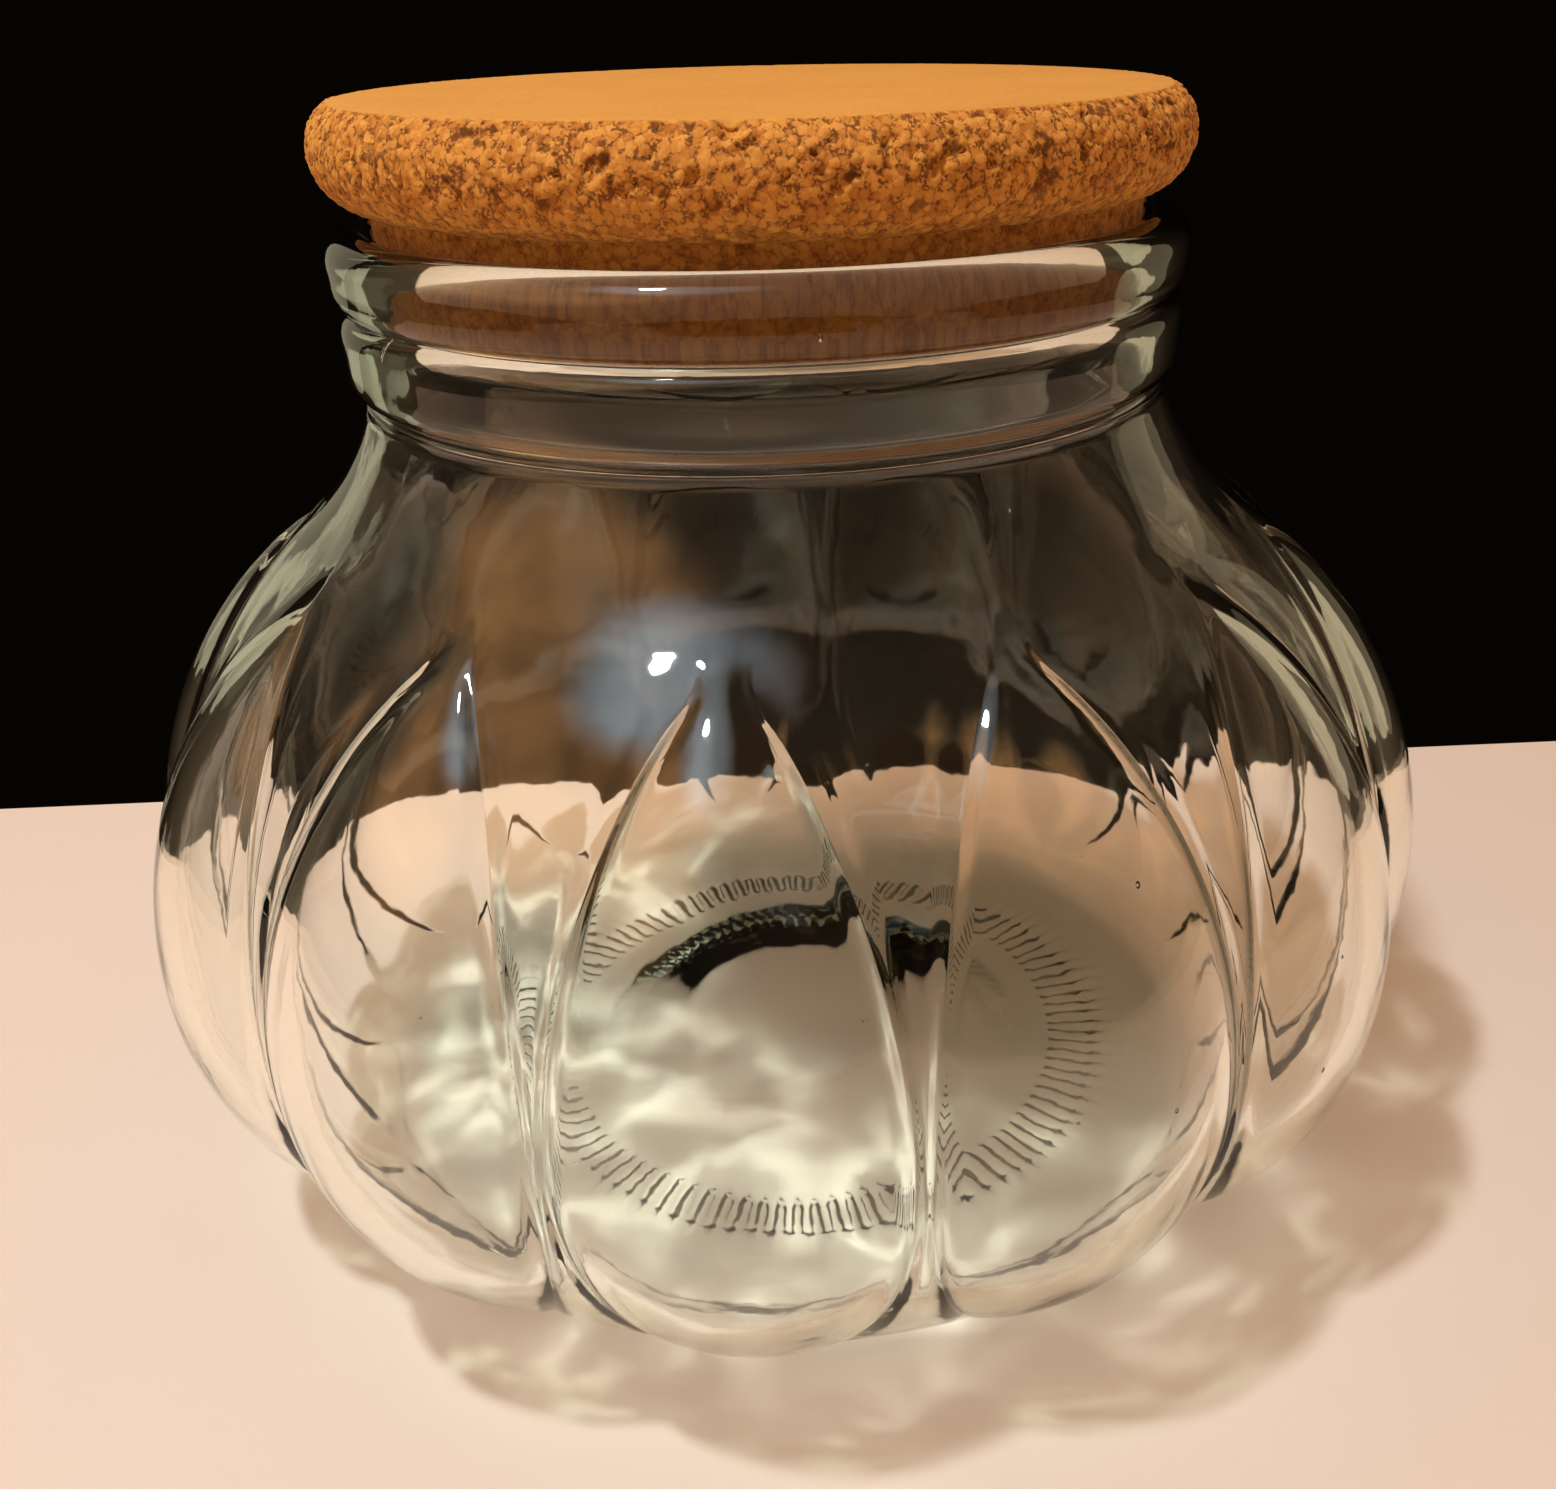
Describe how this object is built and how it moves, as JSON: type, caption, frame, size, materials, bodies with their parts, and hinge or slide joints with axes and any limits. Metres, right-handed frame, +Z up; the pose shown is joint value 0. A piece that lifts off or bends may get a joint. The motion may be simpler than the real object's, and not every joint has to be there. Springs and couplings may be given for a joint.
{
  "type": "glass jar with cork lid",
  "caption": "Squat glass storage jar with a belly of petal lobes, a ringed neck and a turned cork lid whose plug lifts out of the mouth.",
  "frame": {"origin": "middle of the foot ring, on the surface that the jar stands on", "axes": "+Z up along the axis of jar and lid, +X through the crest of a lobe"},
  "size_m": [0.2427, 0.2438, 0.1896],
  "materials": {
    "glass": "clear, faintly green, glossy",
    "cork": "pressed cork granulate, matt"
  },
  "bodies": {
    "jar": {"glass_jar": "glass"},
    "lid": {"cork_lid": "cork"}
  },
  "joints": [
    {"name": "lid_lift", "type": "slide", "parent": "jar", "child": "lid", "axis": [0, 0, 1], "range_m": [0, 0.05]}
  ]
}
